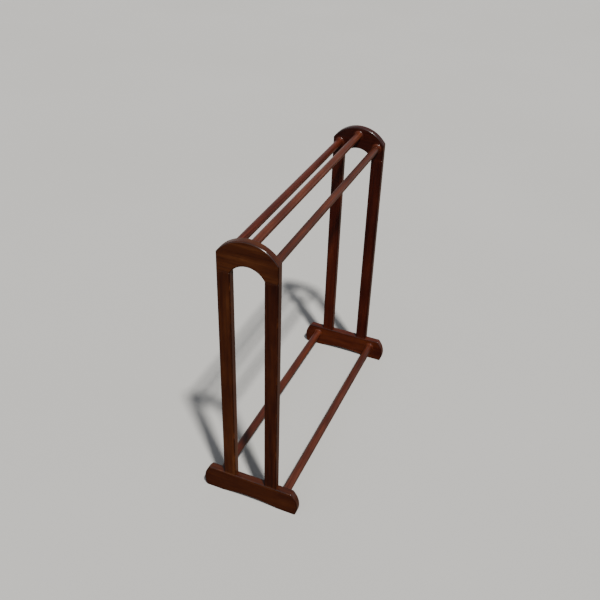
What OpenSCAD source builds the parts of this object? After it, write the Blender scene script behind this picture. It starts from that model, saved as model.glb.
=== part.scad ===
// Quilt rack: two arched end frames of flat boards, joined by three rails above and two below.
// X runs along the rails, Y from front (-) to back (+), Z up.
// The origin is on the floor, under the middle of the rack.

/* [Overall] */
// Length over the outer faces of the two end frames
rack_length = 736; // [500:1:1000]
// Height from the floor to the top of the crowns
rack_height = 800; // [700:1:1000]

/* [Boards] */
// Thickness of the crowns, legs and feet
board_t = 20; // [18:0.5:26]
// Radius of the rounded-over edges
edge_r = 3; // [1:0.5:4]

/* [End frames] */
// Width over the two legs of one end frame
frame_width = 152; // [146:1:160]
// Width of one leg
leg_width = 34; // [30:1:38]
// Height of a crown, from its lower ends to its top
crown_height = 88; // [86:1:100]
// Radius of the outer arc of a crown
crown_r = 91; // [88:1:100]
// Rise of the inner arch above the lower ends of a crown
arch_rise = 25.5; // [20:0.5:32]

/* [Feet] */
// Length of a foot at its widest
foot_length = 274; // [264:1:320]
// Height of a foot
foot_height = 72; // [66:1:84]
// Radius of the rounded ends of a foot
foot_end_r = 65; // [60:1:70]
// Height of the widest point of a foot's ends
foot_end_z = 27; // [20:1:32]
// Span of the shallow arch under a foot
under_arch_span = 160; // [120:1:180]
// Rise of the shallow arch under a foot
under_arch_rise = 9; // [5:0.5:12]

/* [Rails] */
// Diameter of the three top rails
top_rail_d = 20; // [16:0.5:22]
// Distance of the top rails from the centre of the crown's outer arc
top_rail_ring_r = 68.5; // [66:0.5:72]
// Angle of the front and back top rails from the upright
top_rail_angle = 55; // [45:1:58]
// Diameter of the two bottom rails
bottom_rail_d = 23; // [18:0.5:26]
// Distance of the bottom rails from the middle of the foot
bottom_rail_y = 92.5; // [90:0.5:100]
// Height of the bottom rails' centre lines
bottom_rail_z = 45; // [34:0.5:48]
// Depth of the blind sockets that hold the rail ends
socket_depth = 12; // [8:0.5:14]

/* [Dowel pins] */
// Diameter of the hidden dowel pins
dowel_d = 8; // [6:1:8]
// Length of a dowel pin, half of it in each board
dowel_length = 36; // [24:1:38]
// Distance between the two pins of one joint
dowel_spacing = 16; // [13:0.5:16]

/* [Hidden] */
$fn = 96;

LEFT = -1;
RIGHT = 1;
FRONT = -1;
BACK = 1;

// Centre plane of an end frame, and the y of a leg's centre line
frame_x = (rack_length - board_t) / 2;
leg_y = (frame_width - leg_width) / 2;
// Height of the joint between the legs and a crown
seam_z = rack_height - crown_height;
leg_length = seam_z - foot_height;
// Centre of the crown's outer arc
crown_arc_z = rack_height - crown_r;
// Inner arch: it springs from the inner edges of the legs
arch_half_span = frame_width / 2 - leg_width;
arch_r = (pow(arch_half_span, 2) + pow(arch_rise, 2)) / (2 * arch_rise);
arch_z = seam_z + arch_rise - arch_r;
// Shallow arch under a foot
under_arch_r = (pow(under_arch_span / 2, 2) + pow(under_arch_rise, 2)) / (2 * under_arch_rise);
// Centre of the arc at a foot's end
foot_end_y = foot_length / 2 - foot_end_r;
rail_length = rack_length - 2 * board_t + 2 * socket_depth;
// Chamfer on rail ends and dowel pins, and the spare depth past a pin for glue
end_chamfer = 1;
glue_gap = 1;
// Overshoot of cutting tools
cut = 1;

MAHOGANY = [0.27, 0.11, 0.06];
RAIL_BROWN = [0.36, 0.16, 0.10];
BEECH = [0.80, 0.66, 0.46];

// y and z of each top rail's centre line; side is FRONT, BACK or 0 for the middle one
function top_rail_y(side) = side * top_rail_ring_r * sin(top_rail_angle);
function top_rail_z(side) = crown_arc_z + top_rail_ring_r * cos(side * top_rail_angle);

// Rectangle with rounded corners, centred
module round_rect(a, b, r) {
    square([a - 2 * r, b], center = true);
    square([a, b - 2 * r], center = true);
    for (i = [-1, 1], j = [-1, 1])
        translate([i * (a / 2 - r), j * (b / 2 - r)])
            circle(r);
}

// Board standing on z = 0, with its four long edges rounded over
module upright_board(width, height) {
    linear_extrude(height)
        round_rect(board_t, width, edge_r);
}

// Disc across the board's thickness, axis along X, with a rounded rim
module board_disc(r) {
    rotate([0, 90, 0])
        rotate_extrude()
            intersection() {
                round_rect(2 * r, board_t, edge_r);
                translate([0, -board_t])
                    square([2 * r, 2 * board_t]);
            }
}

// Round cutter along X whose mouths flare out, so the edges that it leaves are rounded over
module arch_cutter(r) {
    rotate([0, 90, 0])
        rotate_extrude() {
            translate([0, -board_t / 2 - cut])
                square([r, board_t + 2 * cut]);
            for (side = [-1, 1])
                scale([1, side])
                    difference() {
                        translate([r - cut, board_t / 2 - edge_r])
                            square([edge_r + cut, edge_r + cut]);
                        translate([r + edge_r, board_t / 2 - edge_r])
                            circle(edge_r);
                    }
        }
}

// Pin with chamfered ends, centred, axis along Z
module chamfered_pin(d, length) {
    rotate_extrude()
        polygon([
            [0, -length / 2],
            [d / 2 - end_chamfer, -length / 2],
            [d / 2, -length / 2 + end_chamfer],
            [d / 2, length / 2 - end_chamfer],
            [d / 2 - end_chamfer, length / 2],
            [0, length / 2]
        ]);
}

// Blind socket for a rail in a board centred on x = 0, open towards +X
module rail_socket(y, z, d) {
    translate([board_t / 2 - socket_depth, y, z])
        rotate([0, 90, 0])
            cylinder(d = d, h = socket_depth + cut);
}

// The two dowel holes of one leg joint, both sides of the joint face at height z
module dowel_holes(side, z) {
    hole_depth = dowel_length / 2 + glue_gap;
    for (i = [-1, 1])
        translate([0, side * leg_y + i * dowel_spacing / 2, z - hole_depth])
            cylinder(d = dowel_d, h = 2 * hole_depth);
}

// Puts an end-frame piece, drawn on x = 0 with its inner face towards +X, at its own end
module at_end(end) {
    if (end == LEFT)
        translate([-frame_x, 0, 0])
            children();
    else
        mirror([1, 0, 0])
            translate([-frame_x, 0, 0])
                children();
}

// Arched top board of an end frame
module crown(end) {
    color(MAHOGANY)
        at_end(end)
            difference() {
                intersection() {
                    translate([0, 0, seam_z])
                        upright_board(frame_width, crown_height);
                    translate([0, 0, crown_arc_z])
                        board_disc(crown_r);
                }
                translate([0, 0, arch_z])
                    arch_cutter(arch_r);
                for (side = [FRONT, 0, BACK])
                    rail_socket(top_rail_y(side), top_rail_z(side), top_rail_d);
                for (side = [FRONT, BACK])
                    dowel_holes(side, seam_z);
            }
}

module leg(end, side) {
    color(MAHOGANY)
        at_end(end)
            difference() {
                translate([0, side * leg_y, foot_height])
                    upright_board(leg_width, leg_length);
                dowel_holes(side, foot_height);
                dowel_holes(side, seam_z);
            }
}

// Foot board with rounded ends and a shallow arch underneath
module foot(end) {
    color(MAHOGANY)
        at_end(end)
            difference() {
                intersection() {
                    translate([0, foot_length / 2, foot_height / 2])
                        rotate([90, 0, 0])
                            linear_extrude(foot_length)
                                round_rect(board_t, foot_height, edge_r);
                    union() {
                        translate([-board_t, -foot_end_y, -cut])
                            cube([2 * board_t, 2 * foot_end_y, foot_height + 2 * cut]);
                        for (side = [FRONT, BACK])
                            translate([0, side * foot_end_y, foot_end_z])
                                board_disc(foot_end_r);
                    }
                }
                translate([0, 0, under_arch_rise - under_arch_r])
                    arch_cutter(under_arch_r);
                for (side = [FRONT, BACK]) {
                    rail_socket(side * bottom_rail_y, bottom_rail_z, bottom_rail_d);
                    dowel_holes(side, foot_height);
                }
            }
}

module rail(y, z, d) {
    color(RAIL_BROWN)
        translate([0, y, z])
            rotate([0, 90, 0])
                chamfered_pin(d, rail_length);
}

// The two dowel pins that hold one leg to the board above or below it
module dowel_pins(end, side, z) {
    color(BEECH)
        at_end(end)
            for (i = [-1, 1])
                translate([0, side * leg_y + i * dowel_spacing / 2, z])
                    chamfered_pin(dowel_d, dowel_length);
}

module left_crown() { crown(LEFT); }
module right_crown() { crown(RIGHT); }
module left_front_leg() { leg(LEFT, FRONT); }
module left_back_leg() { leg(LEFT, BACK); }
module right_front_leg() { leg(RIGHT, FRONT); }
module right_back_leg() { leg(RIGHT, BACK); }
module left_foot() { foot(LEFT); }
module right_foot() { foot(RIGHT); }
module top_rail_front() { rail(top_rail_y(FRONT), top_rail_z(FRONT), top_rail_d); }
module top_rail_center() { rail(top_rail_y(0), top_rail_z(0), top_rail_d); }
module top_rail_back() { rail(top_rail_y(BACK), top_rail_z(BACK), top_rail_d); }
module bottom_rail_front() { rail(FRONT * bottom_rail_y, bottom_rail_z, bottom_rail_d); }
module bottom_rail_back() { rail(BACK * bottom_rail_y, bottom_rail_z, bottom_rail_d); }
module left_front_leg_top_dowels() { dowel_pins(LEFT, FRONT, seam_z); }
module left_front_leg_bottom_dowels() { dowel_pins(LEFT, FRONT, foot_height); }
module left_back_leg_top_dowels() { dowel_pins(LEFT, BACK, seam_z); }
module left_back_leg_bottom_dowels() { dowel_pins(LEFT, BACK, foot_height); }
module right_front_leg_top_dowels() { dowel_pins(RIGHT, FRONT, seam_z); }
module right_front_leg_bottom_dowels() { dowel_pins(RIGHT, FRONT, foot_height); }
module right_back_leg_top_dowels() { dowel_pins(RIGHT, BACK, seam_z); }
module right_back_leg_bottom_dowels() { dowel_pins(RIGHT, BACK, foot_height); }

left_crown();
right_crown();
left_front_leg();
left_back_leg();
right_front_leg();
right_back_leg();
left_foot();
right_foot();
top_rail_front();
top_rail_center();
top_rail_back();
bottom_rail_front();
bottom_rail_back();
left_front_leg_top_dowels();
left_front_leg_bottom_dowels();
left_back_leg_top_dowels();
left_back_leg_bottom_dowels();
right_front_leg_top_dowels();
right_front_leg_bottom_dowels();
right_back_leg_top_dowels();
right_back_leg_bottom_dowels();
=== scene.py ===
"""Looks of the quilt rack: stained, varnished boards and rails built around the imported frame."""

import random
from math import acos, asin, cos, pi, radians, sin, tan

import bmesh
import bpy
from mathutils import Matrix, Vector
from mathutils.geometry import tessellate_polygon


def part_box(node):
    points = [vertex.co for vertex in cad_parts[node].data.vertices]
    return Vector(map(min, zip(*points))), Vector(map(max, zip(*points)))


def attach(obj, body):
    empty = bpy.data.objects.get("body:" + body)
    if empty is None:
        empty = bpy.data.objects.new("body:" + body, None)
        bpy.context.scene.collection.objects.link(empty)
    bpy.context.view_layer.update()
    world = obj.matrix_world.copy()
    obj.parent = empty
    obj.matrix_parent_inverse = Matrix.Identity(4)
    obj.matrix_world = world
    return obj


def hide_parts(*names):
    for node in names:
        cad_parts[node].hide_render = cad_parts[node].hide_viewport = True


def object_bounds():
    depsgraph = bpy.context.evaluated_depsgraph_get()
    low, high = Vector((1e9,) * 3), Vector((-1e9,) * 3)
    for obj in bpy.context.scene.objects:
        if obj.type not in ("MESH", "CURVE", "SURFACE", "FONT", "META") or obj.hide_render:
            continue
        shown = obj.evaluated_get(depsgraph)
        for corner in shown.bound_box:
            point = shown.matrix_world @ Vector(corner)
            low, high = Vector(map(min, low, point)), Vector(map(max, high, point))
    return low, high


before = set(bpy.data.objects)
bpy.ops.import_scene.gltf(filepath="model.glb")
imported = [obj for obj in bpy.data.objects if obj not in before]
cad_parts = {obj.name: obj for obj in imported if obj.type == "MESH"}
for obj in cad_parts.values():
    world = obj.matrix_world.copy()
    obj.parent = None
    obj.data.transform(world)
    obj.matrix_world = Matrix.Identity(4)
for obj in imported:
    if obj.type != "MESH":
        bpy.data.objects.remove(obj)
CAD_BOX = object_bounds()

# Sizes in metres. X runs along the rails, Y from front to back, Z up.
EDGE_R = 0.003            # rounded-over edges of the boards
EDGE_STEPS = 6            # strips in one rounded edge
CORNER_R = 0.0035         # softened corners in the outline of a board
CORNER_STEPS = 5
CROWN_R = 0.091           # outer arc of a crown
CROWN_STEPS = 72
ARCH_RISE = 0.0255        # inner arch of a crown, above its lower ends
ARCH_STEPS = 48
FOOT_END_R = 0.065        # rounded ends of a foot
FOOT_END_Z = 0.027        # height of their centres
FOOT_END_STEPS = 26
UNDER_SPAN = 0.160        # shallow arch under a foot
UNDER_RISE = 0.009
UNDER_STEPS = 40
GLUE_GAP = 0.001          # spare depth of a dowel hole past its pin
RAIL_CHAMFER = 0.001      # at the hidden ends of a rail
HAIRLINE = 0.0003         # bevel that leaves a fine line where two pieces meet
HOLE_SIDES = 48
RAIL_SIDES = 64
RAIL_STEP = 0.030         # longest stretch of a rail or leg between two rings
SHARP_ANGLE = radians(38)

ENDS = {"left": -1, "right": 1}
SIDES = ("front", "back")

# How each piece of wood has taken the stain, and for right_back_leg also painted light: how light it is,
# around 0;
# how red, from 0 to 1; and how much lighter its right, back or upper end is than its middle.
STAINS_AND_PAINTED_LIGHT = {
    "left_crown": (0.09, 0.0, 0.0), "right_crown": (-0.16, 0.8, 0.0),
    "left_front_leg": (-0.06, 0.15, -0.05), "left_back_leg": (0.04, 0.0, -0.10),
    # right_back_leg is partly painted light: made lighter, and less dark at its upper end, to offset the
    # shadow that the top rails cast on it.
    "right_front_leg": (-0.08, 0.9, 0.02), "right_back_leg": (0.01, 0.9, -0.02),
    "left_foot": (0.06, 0.1, 0.0), "right_foot": (0.22, 0.7, 0.0),
    "top_rail_front": (-0.03, 0.0, 0.0), "top_rail_center": (0.11, 0.1, 0.0),
    "top_rail_back": (0.03, 0.45, 0.0),
    "bottom_rail_front": (0.02, 0.1, 0.0), "bottom_rail_back": (0.01, 0.2, 0.0),
}

# Glue wiped off around a joint kept the stain out: (distance from the joint, how bare the wood is).
GLUE_HALO = ((0.0, 1.0), (0.0025, 0.7), (0.0065, 0.0))
CLEANED = 0.35            # share of it that is left on a leg where it meets its crown

# The bead of glue around a rail, squeezed out of its socket and leaning on the rail:
# (distance from the mouth of the socket, height above the board).
BEAD = ((-0.0002, 0.0012), (0.0003, 0.0012), (0.0010, 0.0010), (0.0017, 0.0005), (0.0021, 0.0))

# Where a piece lies in the log that it was sawn from, drawn at random for each piece: how far from
# the heart, across and through the piece; how far along the log; and its lean per metre of length.
HEART_ACROSS = (-0.03, 0.03)
HEART_THROUGH = (0.035, 0.06)
HEART_ALONG = (0, 9)
LEAN = (-0.02, 0.02)

# Face attribute that the weighted normal modifier reads, and its value for a flat face.
FACE_WEIGHT = "__mod_weightednormals_faceweight"
STRONG = 16384


# ---------------------------------------------------------------- outlines, in (y, z)

def arc(centre, radius, start, end, steps):
    """Points from angle start to angle end, both included; angles run from +Y towards +Z."""
    angles = [start + (end - start) * i / steps for i in range(steps + 1)]
    return [centre + radius * Vector((cos(a), sin(a))) for a in angles]


def left_of(direction):
    return Vector((-direction.y, direction.x))


def softened(before, corner, after):
    """A small arc in place of a convex corner, touching the sides to the points before and after."""
    arriving = (corner - before).normalized()
    leaving = (after - corner).normalized()
    turn = acos(max(-1.0, min(1.0, arriving.dot(leaving))))
    start = corner - arriving * CORNER_R * tan(turn / 2)
    centre = start + left_of(arriving) * CORNER_R
    spoke = start - centre
    turns = [turn * i / CORNER_STEPS for i in range(CORNER_STEPS + 1)]
    return [centre + Matrix.Rotation(angle, 2) @ spoke for angle in turns]


def crown_outline(lo, hi, inner):
    """Anticlockwise outline of a crown, and where in it the flat lower ends start, front end first.
    inner is how far from the middle the inner edges of the legs are."""
    half = hi.y
    top_centre = Vector((0, hi.z - CROWN_R))
    corner_angle = acos(half / CROWN_R)
    over = arc(top_centre, CROWN_R, corner_angle, pi - corner_angle, CROWN_STEPS)
    arch_r = (inner ** 2 + ARCH_RISE ** 2) / (2 * ARCH_RISE)
    arch_centre = Vector((0, lo.z + ARCH_RISE - arch_r))
    spring = asin((lo.z - arch_centre.y) / arch_r)
    arch = arc(arch_centre, arch_r, pi - spring, spring, ARCH_STEPS)
    seam_back = Vector((half, lo.z))
    seam_front = Vector((-half, lo.z))
    points = [seam_back]
    points += softened(seam_back, over[0], over[1])
    points += over[1:-1]
    points += softened(over[-2], over[-1], seam_front)
    points.append(seam_front)
    front_seam = len(points) - 1
    points += arch
    return points, [front_seam, len(points) - 1]


def foot_outline(lo, hi, joints):
    """Anticlockwise outline of a foot, and where in it the leg joints start, back joint first.
    joints holds the lowest and highest y of each leg, from front to back."""
    end_centre = Vector((hi.y - FOOT_END_R, FOOT_END_Z))
    low = asin((lo.z - FOOT_END_Z) / FOOT_END_R)
    high = asin((hi.z - FOOT_END_Z) / FOOT_END_R)
    back_end = arc(end_centre, FOOT_END_R, low, high, FOOT_END_STEPS)
    front_end = [Vector((-p.x, p.y)) for p in reversed(back_end)]
    pad = UNDER_SPAN / 2
    under_r = (pad ** 2 + UNDER_RISE ** 2) / (2 * UNDER_RISE)
    under_centre = Vector((0, UNDER_RISE - under_r))
    lean = asin(pad / under_r)
    under = arc(under_centre, under_r, pi / 2 + lean, pi / 2 - lean, UNDER_STEPS)
    pad_back = Vector((pad, lo.z))
    pad_front = Vector((-pad, lo.z))
    top_y = [y for joint in reversed(joints) for y in reversed(joint)]
    top = [Vector((y, hi.z)) for y in top_y]
    points = softened(pad_back, back_end[0], back_end[1])
    points += back_end[1:-1]
    points += softened(back_end[-2], back_end[-1], top[0])
    first_top = len(points)
    points += top
    points += softened(top[-1], front_end[0], front_end[1])
    points += front_end[1:-1]
    points += softened(front_end[-2], front_end[-1], pad_front)
    points += under
    return points, [first_top, first_top + 2]


def inset_directions(points, level):
    """How far each point moves for one metre of inset. The sides in level keep their own line,
    so their two ends slide along it."""
    count = len(points)
    directions = []
    for i, point in enumerate(points):
        arriving = (point - points[i - 1]).normalized()
        leaving = (points[(i + 1) % count] - point).normalized()
        if (i - 1) % count in level:
            directions.append(-arriving)
        elif i in level:
            directions.append(leaving)
        else:
            a, b = left_of(arriving), left_of(leaving)
            directions.append((a + b) / (1 + a.dot(b)))
    return directions


# ---------------------------------------------------------------- mesh building

def new_bmesh():
    """An empty bmesh with the layers that every piece of wood carries."""
    bm = bmesh.new()
    # How far onto a rounded edge a vertex lies: it places worn spots, smoother varnish and painted
    # shade.
    bm.verts.layers.float.new("edge_wear_and_shade")
    bm.verts.layers.float.new("bare")
    bm.faces.layers.int.new(FACE_WEIGHT)
    return bm


def circle(bm, centre, direction, radius, sides):
    """Vertices around a centre, in the plane square to direction."""
    turn = direction.to_track_quat("Z", "Y").to_matrix()
    angles = [2 * pi * i / sides for i in range(sides)]
    return [bm.verts.new(centre + radius * (turn @ Vector((cos(a), sin(a), 0)))) for a in angles]


def bridge(bm, low, high):
    """Quads between two closed rings of as many vertices. Returns them."""
    faces = []
    for i in range(len(low)):
        j = (i + 1) % len(low)
        faces.append(bm.faces.new((low[i], low[j], high[j], high[i])))
    return faces


def keep_flat(bm, faces):
    """Lets these faces alone decide the shading at their rims, so that they look flat all over."""
    weight = bm.faces.layers.int[FACE_WEIGHT]
    for face in faces:
        face[weight] = STRONG


def collar(bm, mouth, centre, direction, radius):
    """The bead around the mouth of a socket, and flat rings around the bead, less bare the wider
    they are. radius is the socket's, and direction points into the board. Returns the widest ring."""
    bare_layer = bm.verts.layers.float["bare"]
    rings = [mouth]
    for distance, height in BEAD:
        place = centre - direction * height
        rings.append(circle(bm, place, direction, radius + HAIRLINE + distance, HOLE_SIDES))
        bridge(bm, rings[-1], rings[-2])
    for vert in (v for ring in rings for v in ring):
        vert[bare_layer] = 1.0
    for distance, bare in GLUE_HALO[1:]:
        rings.append(circle(bm, centre, direction, radius + HAIRLINE + distance, HOLE_SIDES))
        keep_flat(bm, bridge(bm, rings[-1], rings[-2]))
        for vert in rings[-1]:
            vert[bare_layer] = bare
    return rings[-1]


def drill(bm, centre, direction, radius, depth):
    """A blind hole with a hairline bevel at its mouth. Returns the vertices of the mouth."""
    mouth = circle(bm, centre, direction, radius + HAIRLINE, HOLE_SIDES)
    throat = circle(bm, centre + direction * HAIRLINE, direction, radius, HOLE_SIDES)
    bottom = circle(bm, centre + direction * depth, direction, radius, HOLE_SIDES)
    bridge(bm, mouth, throat)
    bridge(bm, throat, bottom)
    bm.faces.new(bottom)
    return mouth


def fill(bm, outer, holes=()):
    """A flat face inside the outer loop and around the holes, in well-shaped triangles."""
    loops = [outer, *holes]
    verts = [v for loop in loops for v in loop]
    triangles = tessellate_polygon([[v.co for v in loop] for loop in loops])
    faces = [bm.faces.new([verts[i] for i in t]) for t in triangles]
    inside = set(faces)
    edges = dict.fromkeys(e for f in faces for e in f.edges)    # in a fixed order, unlike a set
    shared = [e for e in edges if len(e.link_faces) == 2 and inside.issuperset(e.link_faces)]
    bmesh.ops.beautify_fill(bm, faces=faces, edges=shared)
    rim = set(verts)
    keep_flat(bm, {f for v in verts for f in v.link_faces if rim.issuperset(f.verts)})


def rounded_edge(thickness):
    """(place through the board, inset of the outline, weight of worn spots and painted shade along the
    edge) from its low face to its high face.
    """
    angles = [pi / 2 * (1 - i / EDGE_STEPS) for i in range(EDGE_STEPS + 1)]
    half = thickness / 2
    low = [(EDGE_R * (1 - sin(a)) - half, EDGE_R * (1 - cos(a)), sin(2 * a)) for a in angles]
    return low + [(-x, inset, edge_wear_and_shade) for x, inset, edge_wear_and_shade in reversed(low)]


def board(points, level, lo, hi, sockets, socket_face, dowel_sides):
    """A board whose outline in (y, z) is extruded through X, with rounded-over edges.
    level holds where the stretches of the outline start that keep their line at the edges.
    sockets are (centre, radius, depth) on the face towards socket_face, which is -1 or 1.
    dowel_sides maps where a stretch with dowels starts to its holes, each a
    (centre, direction, radius, depth)."""
    bm = new_bmesh()
    edge_wear_and_shade_layer = bm.verts.layers.float["edge_wear_and_shade"]
    middle = (lo.x + hi.x) / 2
    directions = inset_directions(points, level)
    profile = rounded_edge(hi.x - lo.x)
    rings = []
    for x, inset, edge_wear_and_shade in profile:
        ring = []
        for point, direction in zip(points, directions):
            place = point + direction * inset
            vert = bm.verts.new((middle + x, place.x, place.y))
            vert[edge_wear_and_shade_layer] = edge_wear_and_shade
            ring.append(vert)
        rings.append(ring)
    wall = EDGE_STEPS    # the strip between the rounded edges
    for k in range(len(rings) - 1):
        low, high = rings[k], rings[k + 1]
        for i in range(len(points)):
            j = (i + 1) % len(points)
            corners = [low[i], low[j], high[j], high[i]]
            if k == wall and i in dowel_sides:
                fill(bm, corners, [drill(bm, *hole) for hole in dowel_sides[i]])
            else:
                bm.faces.new(corners)
    inwards = Vector((-socket_face, 0, 0))
    collars = []
    for centre, radius, depth in sockets:
        mouth = drill(bm, centre, inwards, radius, depth)
        collars.append(collar(bm, mouth, centre, inwards, radius))
    fill(bm, rings[0], collars if socket_face < 0 else ())
    fill(bm, rings[-1], collars if socket_face > 0 else ())
    return bm


def rounded_rectangle(half_x, half_y, inset):
    """(x, y, weight of worn spots and painted shade along the edge) around a rectangle with round
    corners, drawn in by inset.
    """
    radius = EDGE_R - inset
    points = []
    for quarter, (sx, sy) in enumerate(((1, 1), (-1, 1), (-1, -1), (1, -1))):
        for i in range(EDGE_STEPS + 1):
            part = i / EDGE_STEPS
            angle = (quarter + part) * pi / 2
            x = sx * (half_x - EDGE_R) + radius * cos(angle)
            y = sy * (half_y - EDGE_R) + radius * sin(angle)
            points.append((x, y, sin(pi * part)))
    return points


def spaced(start, end):
    """Places from start to end, both included, no further apart than RAIL_STEP."""
    count = int((end - start) / RAIL_STEP) + 1
    return [start + (end - start) * i / count for i in range(count + 1)]


def leg_post(lo, hi, bottom_holes, top_holes):
    """An upright board with rounded long edges, drilled for dowels at both ends."""
    bm = new_bmesh()
    edge_wear_and_shade_layer = bm.verts.layers.float["edge_wear_and_shade"]
    bare_layer = bm.verts.layers.float["bare"]
    centre = (lo + hi) / 2
    half = (hi - lo) / 2
    ends = [(HAIRLINE + distance, bare) for distance, bare in GLUE_HALO]
    clear = ends[-1][0]
    levels = [(lo.z, HAIRLINE, 1.0)]
    levels += [(lo.z + distance, 0.0, bare) for distance, bare in ends[:-1]]
    levels += [(z, 0.0, 0.0) for z in spaced(lo.z + clear, hi.z - clear)]
    levels += [(hi.z - distance, 0.0, bare * CLEANED) for distance, bare in reversed(ends[:-1])]
    levels += [(hi.z, HAIRLINE, CLEANED)]
    rings = []
    for z, inset, bare in levels:
        ring = []
        for x, y, edge_wear_and_shade in rounded_rectangle(half.x, half.y, inset):
            vert = bm.verts.new((centre.x + x, centre.y + y, z))
            vert[edge_wear_and_shade_layer] = edge_wear_and_shade
            vert[bare_layer] = bare
            ring.append(vert)
        rings.append(ring)
    for low, high in zip(rings, rings[1:]):
        bridge(bm, low, high)
    fill(bm, rings[0], [drill(bm, *hole) for hole in bottom_holes])
    fill(bm, rings[-1], [drill(bm, *hole) for hole in top_holes])
    return bm


def round_bar(lo, hi, from_x, to_x):
    """A turned rail along X. Its length shows from from_x to to_x, and its ends are chamfered."""
    bm = new_bmesh()
    bare_layer = bm.verts.layers.float["bare"]
    centre = (lo + hi) / 2
    radius = (hi.y - lo.y) / 2
    clear = GLUE_HALO[-1][0]
    stations = [(lo.x, radius - RAIL_CHAMFER, 1.0), (lo.x + RAIL_CHAMFER, radius, 1.0)]
    stations += [(from_x + distance, radius, bare) for distance, bare in GLUE_HALO[:-1]]
    stations += [(x, radius, 0.0) for x in spaced(from_x + clear, to_x - clear)]
    stations += [(to_x - distance, radius, bare) for distance, bare in reversed(GLUE_HALO[:-1])]
    stations += [(hi.x - RAIL_CHAMFER, radius, 1.0), (hi.x, radius - RAIL_CHAMFER, 1.0)]
    along = Vector((1, 0, 0))
    rings = []
    for x, r, bare in stations:
        ring = circle(bm, Vector((x, centre.y, centre.z)), along, r, RAIL_SIDES)
        for vert in ring:
            vert[bare_layer] = bare
        rings.append(ring)
    for low, high in zip(rings, rings[1:]):
        bridge(bm, low, high)
    bm.faces.new(rings[0])
    bm.faces.new(rings[-1])
    return bm


# ---------------------------------------------------------------- from mesh to piece

# For each direction of the grain, the coordinates that run across, through and along it.
GRAIN_AXES = {"X": (1, 2, 0), "Y": (2, 0, 1), "Z": (1, 0, 2)}


def add_grain(mesh, name, axis):
    """Stores where each vertex lies in its own log: across, through and along the grain."""
    rng = random.Random(name)
    heart = Vector([rng.uniform(*span) for span in (HEART_ACROSS, HEART_THROUGH, HEART_ALONG)])
    lean = rng.uniform(*LEAN)
    centre = sum((v.co for v in mesh.vertices), Vector()) / len(mesh.vertices)
    grain = mesh.attributes.new("grain", "FLOAT_VECTOR", "POINT")
    across, through, along = GRAIN_AXES[axis]
    for vert, value in zip(mesh.vertices, grain.data):
        local = vert.co - centre
        place = Vector((local[across], local[through], local[along]))
        value.vector = place + heart + Vector((lean * place.z, lean * place.z, 0))


def add_stain_and_painted_light(mesh, axis, tone, redness, drift):
    """Stores a piece's lightness, redness and drift, which for right_back_leg partly hold painted light,
    for a piece whose grain runs along axis.
    """
    along = [v.co["XYZ".index(axis)] for v in mesh.vertices]
    low, high = min(along), max(along)
    tones = [tone + drift * (2 * (place - low) / (high - low) - 1) for place in along]
    for name, values in (("tone", tones), ("redness", [redness] * len(tones))):
        layer = mesh.attributes.new(name, "FLOAT", "POINT")
        layer.data.foreach_set("value", values)


def finish_mesh(bm, name):
    """Turns the bmesh into a smooth mesh with outward normals, and sharp edges where faces meet at
    more than SHARP_ANGLE."""
    bmesh.ops.recalc_face_normals(bm, faces=bm.faces)
    for face in bm.faces:
        face.smooth = True
    for edge in bm.edges:
        edge.smooth = edge.calc_face_angle(0.0) < SHARP_ANGLE
    mesh = bpy.data.meshes.new(name)
    bm.to_mesh(mesh)
    bm.free()
    return mesh


def linked(name, data):
    """A new object in the scene."""
    made = bpy.data.objects.new(name, data)
    bpy.context.scene.collection.objects.link(made)
    return made


def wooden(bm, node, axis, material):
    """Makes the shown piece of wood that stands for a CAD node, with its grain along axis."""
    name = node + "_wood"
    mesh = finish_mesh(bm, name)
    add_grain(mesh, name, axis)
    add_stain_and_painted_light(mesh, axis, *STAINS_AND_PAINTED_LIGHT[node])
    mesh.materials.append(material)
    piece = linked(name, mesh)
    weighted = piece.modifiers.new("face_weighted_normals", "WEIGHTED_NORMAL")
    weighted.keep_sharp = True
    weighted.use_face_influence = True
    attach(piece, "root")
    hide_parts(node)


# ---------------------------------------------------------------- the rack's pieces

def dowel_holes(end, side, joint, direction):
    """The two holes of one leg joint, drilled from the joint's plane along direction."""
    lo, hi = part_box(f"{end}_{side}_leg_{joint}_dowels")
    radius = (hi.x - lo.x) / 2
    depth = (hi.z - lo.z) / 2 + GLUE_GAP
    x, z = (lo.x + hi.x) / 2, (lo.z + hi.z) / 2
    return [(Vector((x, y, z)), direction, radius, depth) for y in (lo.y + radius, hi.y - radius)]


def rail_sockets(rails, lo, hi, end):
    """Centre, radius and depth of the socket for each rail in the inner face of a board."""
    inner_x = lo.x if ENDS[end] > 0 else hi.x
    sockets = []
    for rail in rails:
        rail_lo, rail_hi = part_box(rail)
        tip = rail_hi.x if ENDS[end] > 0 else rail_lo.x
        centre = (rail_lo + rail_hi) / 2
        radius = (rail_hi.y - rail_lo.y) / 2
        sockets.append((Vector((inner_x, centre.y, centre.z)), radius, abs(tip - inner_x)))
    return sockets


def make_crown(end, material):
    node = f"{end}_crown"
    lo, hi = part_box(node)
    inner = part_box(f"{end}_back_leg")[0].y
    points, seams = crown_outline(lo, hi, inner)
    up = Vector((0, 0, 1))
    holes = {i: dowel_holes(end, side, "top", up) for i, side in zip(seams, SIDES)}
    rails = [f"top_rail_{place}" for place in ("front", "center", "back")]
    sockets = rail_sockets(rails, lo, hi, end)
    bm = board(points, seams, lo, hi, sockets, -ENDS[end], holes)
    wooden(bm, node, "Y", material)


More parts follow.
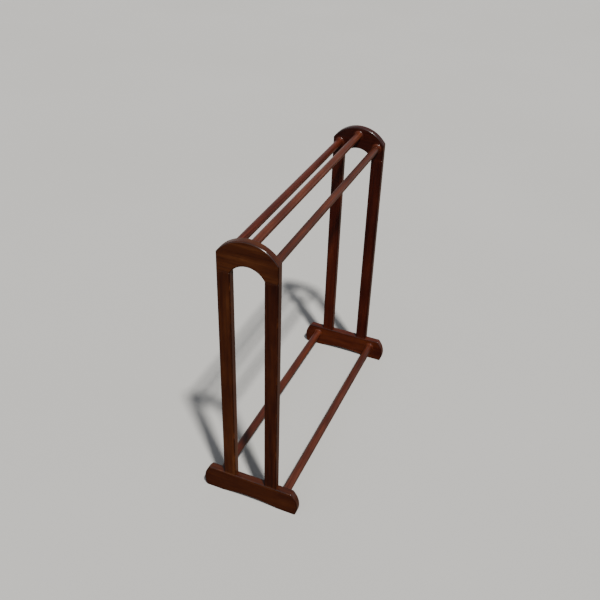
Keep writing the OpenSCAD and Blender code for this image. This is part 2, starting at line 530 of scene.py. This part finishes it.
def make_foot(end, material):
    node = f"{end}_foot"
    lo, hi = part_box(node)
    legs = [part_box(f"{end}_{side}_leg") for side in SIDES]
    joints = [(leg_lo.y, leg_hi.y) for leg_lo, leg_hi in legs]
    points, tops = foot_outline(lo, hi, joints)
    down = Vector((0, 0, -1))
    holes = {i: dowel_holes(end, side, "bottom", down) for i, side in zip(tops, reversed(SIDES))}
    rails = [f"bottom_rail_{side}" for side in SIDES]
    sockets = rail_sockets(rails, lo, hi, end)
    bm = board(points, [], lo, hi, sockets, -ENDS[end], holes)
    wooden(bm, node, "Y", material)


def make_leg(end, side, material):
    node = f"{end}_{side}_leg"
    lo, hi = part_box(node)
    bottom = dowel_holes(end, side, "bottom", Vector((0, 0, 1)))
    top = dowel_holes(end, side, "top", Vector((0, 0, -1)))
    bm = leg_post(lo, hi, bottom, top)
    wooden(bm, node, "Z", material)


def make_rail(node, material):
    lo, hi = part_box(node)
    from_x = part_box("left_crown")[1].x
    to_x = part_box("right_crown")[0].x
    bm = round_bar(lo, hi, from_x, to_x)
    wooden(bm, node, "X", material)


# ---------------------------------------------------------------- materials

# Features in a metre of wood, across, through and along the grain.
RING_DRIFT = (11, 11, 2.2)
FIBRES = (620, 620, 11)
BLOTCHES = (19, 19, 9)
PORES = (1700, 1700, 75)
PATCHES = (60, 60, 25)
PEEL = (160, 160, 60)
STREAKS_ALONG = 2.4

RING_WARP = 0.012         # how far the growth rings stray, in metres
PORE_STRENGTH = 0.55      # how much of a pore's own colour shows
PORE_SHADE = 0.35         # how bright that colour is, next to the darkest stain
HALO_STRENGTH = 0.7       # how pale the wood is where glue kept all stain out
REDDER = (1.0, 0.5, 0.6)  # what full redness multiplies the colour by
BUILT_UP_AND_SHADE_STRENGTH = 0.8   # how dark the rounded edges are: built-up stain and painted shade
WORN_STRENGTH = 0.6       # how pale they are where they are worn
WORN_ROUGHNESS = 0.12     # how much rougher they are there
WOOD_RELIEF = 0.00012     # depth of fibres and pores, in metres
PEEL_RELIEF = 0.00006     # depth of the lumps in the varnish

VARNISH = {
    "roughness": 0.42,
    "specular": 0.03,
    "coat": 0.8,
    "coat_roughness": 0.28,
    "edge_smoothing": 0.08,    # how much less rough it is on the rounded edges, where it ran thick
    "coat_ior": 1.5,
}


def new_material(name):
    material = bpy.data.materials.new(name)
    material.use_nodes = True
    return material


def opaque(colour):
    """The colour with an alpha of 1."""
    return (*colour, 1.0)


class Graph:
    """Short calls for building a node material or a world."""

    def __init__(self, owner, shader="Principled BSDF"):
        """owner is a material or a world that uses nodes, and shader is its node to build onto."""
        self.owner = owner
        self.tree = owner.node_tree
        self.shader = self.tree.nodes[shader]

    def put(self, socket, value):
        """Links an output to the socket, or sets the socket to a number or colour."""
        if isinstance(value, bpy.types.NodeSocket):
            self.tree.links.new(value, socket)
        else:
            socket.default_value = value

    def node(self, kind, inputs=(), **settings):
        """A new node; inputs maps a socket's name or number to what is put into it."""
        made = self.tree.nodes.new(kind)
        for key, value in settings.items():
            setattr(made, key, value)
        for key, value in dict(inputs).items():
            self.put(made.inputs[key], value)
        return made

    def attribute(self, name, output="Fac"):
        return self.node("ShaderNodeAttribute", attribute_name=name).outputs[output]

    def math(self, operation, *values, clamp=False):
        made = self.node("ShaderNodeMath", operation=operation, use_clamp=clamp)
        for socket, value in zip(made.inputs, values):
            self.put(socket, value)
        return made.outputs[0]

    def vector(self, operation, a, b):
        made = self.node("ShaderNodeVectorMath", {0: a, 1: b}, operation=operation)
        return made.outputs["Value" if operation == "LENGTH" else "Vector"]

    def noise(self, place, scale, detail, roughness=0.5, output="Fac"):
        """Noise around 0.5; scale is how many features fit in a metre along each axis."""
        stretched = self.vector("MULTIPLY", place, scale)
        inputs = {"Vector": stretched, "Scale": 1.0, "Detail": detail, "Roughness": roughness}
        return self.node("ShaderNodeTexNoise", inputs).outputs[output]

    def bands(self, value):
        """Uneven stripes along one number, around 0.5."""
        inputs = {"W": value, "Scale": 1.0, "Detail": 3.0}
        return self.node("ShaderNodeTexNoise", inputs, noise_dimensions="1D").outputs["Fac"]

    def between(self, value, start, end):
        """0 before start, 1 past end and smooth in between. end may be the lower of the two."""
        inputs = {"Value": value, "From Min": start, "From Max": end}
        made = self.node("ShaderNodeMapRange", inputs, interpolation_type="SMOOTHSTEP")
        return made.outputs["Result"]

    def ramp(self, value, stops):
        made = self.node("ShaderNodeValToRGB", {"Fac": value})
        elements = made.color_ramp.elements
        while len(elements) < len(stops):
            elements.new(0.5)
        for element, (place, colour) in zip(elements, stops):
            element.position = place
            element.color = opaque(colour)
        return made.outputs["Color"]

    def mix(self, factor, a, b):
        made = self.node("ShaderNodeMix", data_type="RGBA")
        self.put(made.inputs["Factor"], factor)
        self.put(made.inputs["A"], a)
        self.put(made.inputs["B"], b)
        return made.outputs["Result"]

    def bump(self, height, distance, strength):
        inputs = {"Height": height, "Distance": distance, "Strength": strength}
        return self.node("ShaderNodeBump", inputs).outputs["Normal"]


def figure(g, grain, ring_width):
    """The plank's figure: growth rings around a wandering heart, cut by the plank's faces."""
    drift = g.noise(grain, RING_DRIFT, detail=3.0, output="Color")
    centred = g.vector("SUBTRACT", drift, (0.5, 0.5, 0.5))
    moved = g.vector("ADD", grain, g.vector("MULTIPLY", centred, (RING_WARP, RING_WARP, 0)))
    radial = g.vector("LENGTH", g.vector("MULTIPLY", moved, (1, 1, 0)), (0, 0, 0))
    return g.bands(g.math("DIVIDE", radial, ring_width))


def weighted_sum(g, start, *terms):
    """start plus each (value, weight) times how far the value is from one half."""
    total = start
    for value, weight in terms:
        total = g.math("ADD", total, g.math("MULTIPLY", g.math("SUBTRACT", value, 0.5), weight))
    return total


def towards_ends(g):
    """0 halfway along Y and 1 at the piece's front and back ends."""
    place = g.node("ShaderNodeTexCoord").outputs["Generated"]
    part = g.node("ShaderNodeSeparateXYZ", {0: place}).outputs["Y"]
    from_middle = g.math("MULTIPLY_ADD", part, 2.0, -1.0)
    return g.math("MULTIPLY", from_middle, from_middle)


def stain(g, shade, pores, patchy, stops):
    """Colour of the stain, with its dark pores, the halos that glue left and the piece's redness."""
    darkest, lightest = stops[0][1], stops[-1][1]
    in_pores = opaque([PORE_SHADE * c for c in darkest])
    colour = g.mix(g.math("MULTIPLY", pores, PORE_STRENGTH), g.ramp(shade, stops), in_pores)
    bare = g.math("MULTIPLY", g.attribute("bare"), g.between(patchy, 0.30, 0.62))
    colour = g.mix(g.math("MULTIPLY", bare, HALO_STRENGTH), colour, opaque(lightest))
    return g.mix(g.attribute("redness"), colour, g.vector("MULTIPLY", colour, REDDER))


def edge_shade_and_wear(g, colour, edge_wear_and_shade, worn, patchy, built_up_and_shade_colour, worn_colour):
    """The colour darkened along the rounded edges, partly by built-up stain and partly by painted shade,
    with pale spots worn into them.
    """
    # Painted shade and built-up stain: a dark colour laid in patches along the rounded edges.
    built_up_and_shade = g.math("MULTIPLY", edge_wear_and_shade, g.between(patchy, 0.80, 0.40))
    colour = g.mix(g.math("MULTIPLY", built_up_and_shade, BUILT_UP_AND_SHADE_STRENGTH), colour, opaque(built_up_and_shade_colour))
    return g.mix(g.math("MULTIPLY", worn, WORN_STRENGTH), colour, opaque(worn_colour))


def varnish(g, grain, edge_wear_and_shade):
    """A faintly lumpy coat over the wood, smoother on the rounded edges."""
    smoothed = g.math("MULTIPLY", edge_wear_and_shade, VARNISH["edge_smoothing"])
    lumps = g.noise(grain, PEEL, detail=1.0)
    g.put(g.shader.inputs["Specular IOR Level"], VARNISH["specular"])
    g.put(g.shader.inputs["Coat Weight"], VARNISH["coat"])
    g.put(g.shader.inputs["Coat Roughness"], g.math("SUBTRACT", VARNISH["coat_roughness"], smoothed))
    g.put(g.shader.inputs["Coat IOR"], VARNISH["coat_ior"])
    g.put(g.shader.inputs["Coat Normal"], g.bump(lumps, PEEL_RELIEF, 0.5))


def stained_wood(name, stops, edge_stain_and_shade_colour, ring_width, streaks, darker_ends):
    """Stained and varnished wood. stops colour it from the darkest grain to the lightest, streaks
    is how many light and dark streaks there are in a metre across the grain, and darker_ends is
    how much darker the stain is at the piece's front and back ends."""
    g = Graph(new_material(name))
    grain = g.attribute("grain", "Vector")
    edge_wear_and_shade = g.attribute("edge_wear_and_shade")
    rings = figure(g, grain, ring_width)
    ribbons = g.noise(grain, (streaks, streaks, STREAKS_ALONG), detail=3.0, roughness=0.6)
    fibre = g.noise(grain, FIBRES, detail=3.0, roughness=0.65)
    blotches = g.noise(grain, BLOTCHES, detail=3.0)
    pores = g.between(g.noise(grain, PORES, detail=1.0), 0.60, 0.70)
    patchy = g.noise(grain, PATCHES, detail=4.0)
    worn = g.math("MULTIPLY", edge_wear_and_shade, g.between(patchy, 0.56, 0.72))
    shade = weighted_sum(g, 0.5, (rings, 0.42), (ribbons, 0.55), (fibre, 0.55), (blotches, 0.6))
    shade = g.math("ADD", shade, g.attribute("tone"))
    shade = g.math("SUBTRACT", shade, g.math("MULTIPLY", towards_ends(g), darker_ends))
    colour = stain(g, shade, pores, patchy, stops)
    # The rounded edges get built-up stain and painted shade, and pale worn spots.
    colour = edge_shade_and_wear(g, colour, edge_wear_and_shade, worn, patchy, edge_stain_and_shade_colour, stops[-1][1])
    g.put(g.shader.inputs["Base Color"], colour)
    roughness = weighted_sum(g, VARNISH["roughness"], (fibre, 0.25), (blotches, 0.2))
    roughness = g.math("ADD", roughness, g.math("MULTIPLY", worn, WORN_ROUGHNESS), clamp=True)
    g.put(g.shader.inputs["Roughness"], roughness)
    relief = g.math("SUBTRACT", weighted_sum(g, 0.0, (fibre, 0.35), (ribbons, 0.1)), pores)
    g.put(g.shader.inputs["Normal"], g.bump(relief, WOOD_RELIEF, 0.6))
    varnish(g, grain, edge_wear_and_shade)
    return g.owner


def board_wood(name, ring_width, darker_ends):
    """Dark mahogany stain of the end frames' boards."""
    stops = (
        (0.15, (0.0080, 0.0013, 0.0005)),
        (0.42, (0.0225, 0.0042, 0.0008)),
        (0.60, (0.0340, 0.0076, 0.0012)),
        (0.88, (0.0640, 0.0185, 0.0036)),
    )
    # Dark colour of built-up stain and painted shade along the rounded edges.
    edge_stain_and_shade_colour = (0.0050, 0.0009, 0.0005)
    return stained_wood(name, stops, edge_stain_and_shade_colour, ring_width, streaks=95, darker_ends=darker_ends)


def rail_wood():
    """The rails took the stain lighter and redder than the boards."""
    stops = (
        (0.18, (0.0130, 0.0026, 0.0010)),
        (0.42, (0.0315, 0.0066, 0.0026)),
        (0.60, (0.0485, 0.0116, 0.0048)),
        (0.85, (0.0860, 0.0245, 0.0100)),
    )
    # Dark colour of built-up stain and painted shade along the rounded edges.
    edge_stain_and_shade_colour = (0.012, 0.0025, 0.0012)
    ring_width = 0.0030
    return stained_wood("rail_wood", stops, edge_stain_and_shade_colour, ring_width, streaks=170, darker_ends=0.0)


def beech():
    """Bare beech of the dowel pins: pale, with short brown flecks along the grain."""
    g = Graph(new_material("dowel_beech"))
    place = g.node("ShaderNodeTexCoord").outputs["Object"]
    fibre = g.noise(place, (900, 900, 30), detail=3.0)
    flecks = g.between(g.noise(place, (1500, 1500, 260), detail=1.0), 0.62, 0.70)
    bands = g.noise(place, (260, 260, 9), detail=2.0)
    shade = weighted_sum(g, 0.5, (fibre, 0.8), (bands, 0.9))
    stops = ((0.2, (0.42, 0.25, 0.12)), (0.5, (0.56, 0.37, 0.20)), (0.8, (0.66, 0.47, 0.28)))
    brown = opaque((0.28, 0.14, 0.06))
    colour = g.mix(g.math("MULTIPLY", flecks, 0.5), g.ramp(shade, stops), brown)
    g.put(g.shader.inputs["Base Color"], colour)
    g.put(g.shader.inputs["Roughness"], weighted_sum(g, 0.62, (fibre, 0.3)))
    g.put(g.shader.inputs["Normal"], g.bump(fibre, 0.0001, 0.5))
    return g.owner


def floor_paint():
    """Plain pale floor, faintly uneven."""
    g = Graph(new_material("floor_paint"))
    place = g.node("ShaderNodeTexCoord").outputs["Object"]
    clouds = g.noise(place, (0.9, 0.9, 0.9), detail=3.0)
    speckle = g.noise(place, (260, 260, 260), detail=2.0)
    shade = weighted_sum(g, 0.5, (clouds, 0.5), (speckle, 0.5))
    colour = g.ramp(shade, ((0.2, (0.275, 0.275, 0.266)), (0.8, (0.306, 0.306, 0.298))))
    g.put(g.shader.inputs["Base Color"], colour)
    g.put(g.shader.inputs["Roughness"], 0.85)
    g.put(g.shader.inputs["Specular IOR Level"], 0.2)
    g.put(g.shader.inputs["Normal"], g.bump(speckle, 0.0003, 0.2))
    return g.owner


# ---------------------------------------------------------------- studio

FLOOR_HALF = 30.0
FLOOR_CELLS = 14
KEY_DIRECTION = Vector((-0.38, -0.385, 1.0)).normalized()
KEY_ANGLE = radians(4.0)
KEY_STRENGTH = 8.2
KEY_COLOUR = (1.0, 0.965, 0.92)

# The sky's colours, and the x or z of a direction at which one gives way to the next.
SKY_TOP = (0.28, 0.30, 0.35)
SKY_SIDE = (0.24, 0.245, 0.26)
SKY_SIDE_Z = 0.27
SKY_LEFT = (0.78, 0.78, 0.80)
SKY_LEFT_X = (0.0, -0.6)
HORIZON = (0.64, 0.64, 0.64)
HORIZON_Z = (-0.16, -0.06)
UNDERSIDE = (0.045, 0.04, 0.04)
UNDERSIDE_LIT = (0.24, 0.18, 0.145)
UNDERSIDE_LIT_X = (-0.3, 0.6)

# Where the camera aims, from the middle of the rack; how far back it is; and its angles.
AIM_OFFSET = Vector((-0.0554, 0.0, 0.0593))
CAMERA_DISTANCE = 2.0313
CAMERA_AZIMUTH = radians(-67.96)
CAMERA_ELEVATION = radians(34.49)
CAMERA_ROLL = radians(1.92)
LENS = 45.55              # focal length and width of the sensor, in millimetres
SENSOR = 36.0
CLIP_START = 0.05
CLIP_END = 100.0


def make_floor():
    bm = bmesh.new()
    bmesh.ops.create_grid(bm, x_segments=FLOOR_CELLS, y_segments=FLOOR_CELLS, size=FLOOR_HALF)
    mesh = bpy.data.meshes.new("floor")
    bm.to_mesh(mesh)
    bm.free()
    mesh.materials.append(floor_paint())
    floor = linked("floor", mesh)
    # So pale a floor looks like haze on the varnish, which mirrors the sky's underside instead.
    floor.visible_glossy = False


def make_key():
    """The main light, from high at the front left. It is a sun, so that it is even over the floor."""
    data = bpy.data.lights.new("key", "SUN")
    data.angle = KEY_ANGLE
    data.energy = KEY_STRENGTH
    data.color = KEY_COLOUR
    lamp = linked("key", data)
    lamp.rotation_euler = KEY_DIRECTION.to_track_quat("Z", "Y").to_euler()


def make_sky():
    """Studio light from all round: bright on the left, and elsewhere dim, with a bright horizon and
    a cool top. Below the horizon only the varnish sees it, and there it is dark, darkest on the left."""
    world = bpy.data.worlds.new("studio")
    world.use_nodes = True
    bpy.context.scene.world = world
    g = Graph(world, "Background")
    direction = g.node("ShaderNodeTexCoord").outputs["Generated"]
    split = g.node("ShaderNodeSeparateXYZ", {0: direction})
    x, z = split.outputs["X"], split.outputs["Z"]
    above = g.ramp(z, ((0.0, HORIZON), (SKY_SIDE_Z, SKY_SIDE), (1.0, SKY_TOP)))
    above = g.mix(g.between(x, *SKY_LEFT_X), above, opaque(SKY_LEFT))
    below = g.mix(g.between(x, *UNDERSIDE_LIT_X), opaque(UNDERSIDE), opaque(UNDERSIDE_LIT))
    g.put(g.shader.inputs["Color"], g.mix(g.between(z, *HORIZON_Z), below, above))


def make_camera():
    data = bpy.data.cameras.new("camera")
    data.sensor_width = SENSOR
    data.lens = LENS
    data.clip_start = CLIP_START
    data.clip_end = CLIP_END
    camera = linked("camera", data)
    level = cos(CAMERA_ELEVATION)
    up_part = sin(CAMERA_ELEVATION)
    back = Vector((sin(CAMERA_AZIMUTH) * level, -cos(CAMERA_AZIMUTH) * level, up_part))
    right = Vector((0, 0, 1)).cross(back).normalized()
    up = back.cross(right)
    turn = Matrix.Rotation(CAMERA_ROLL, 3, back)
    camera.matrix_world = Matrix((turn @ right, turn @ up, back)).transposed().to_4x4()
    rack_middle = (CAD_BOX[0] + CAD_BOX[1]) / 2
    camera.location = rack_middle + AIM_OFFSET + back * CAMERA_DISTANCE
    bpy.context.scene.camera = camera


# ---------------------------------------------------------------- the whole scene

def make_rack():
    crown = board_wood("crown_wood", ring_width=0.0055, darker_ends=0.06)
    leg = board_wood("leg_wood", ring_width=0.0045, darker_ends=0.0)
    foot = board_wood("foot_wood", ring_width=0.0065, darker_ends=0.16)
    rail = rail_wood()
    for end in ENDS:
        make_crown(end, crown)
        make_foot(end, foot)
        for side in SIDES:
            make_leg(end, side, leg)
    for node in sorted(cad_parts):
        if "_rail_" in node:
            make_rail(node, rail)


def finish_dowels():
    """The hidden dowel pins stay CAD nodes and only get their wood."""
    material = beech()
    for node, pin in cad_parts.items():
        if node.endswith("_dowels"):
            pin.data.materials.clear()
            pin.data.materials.append(material)


make_camera()
make_floor()
make_sky()
make_key()
make_rack()
finish_dowels()
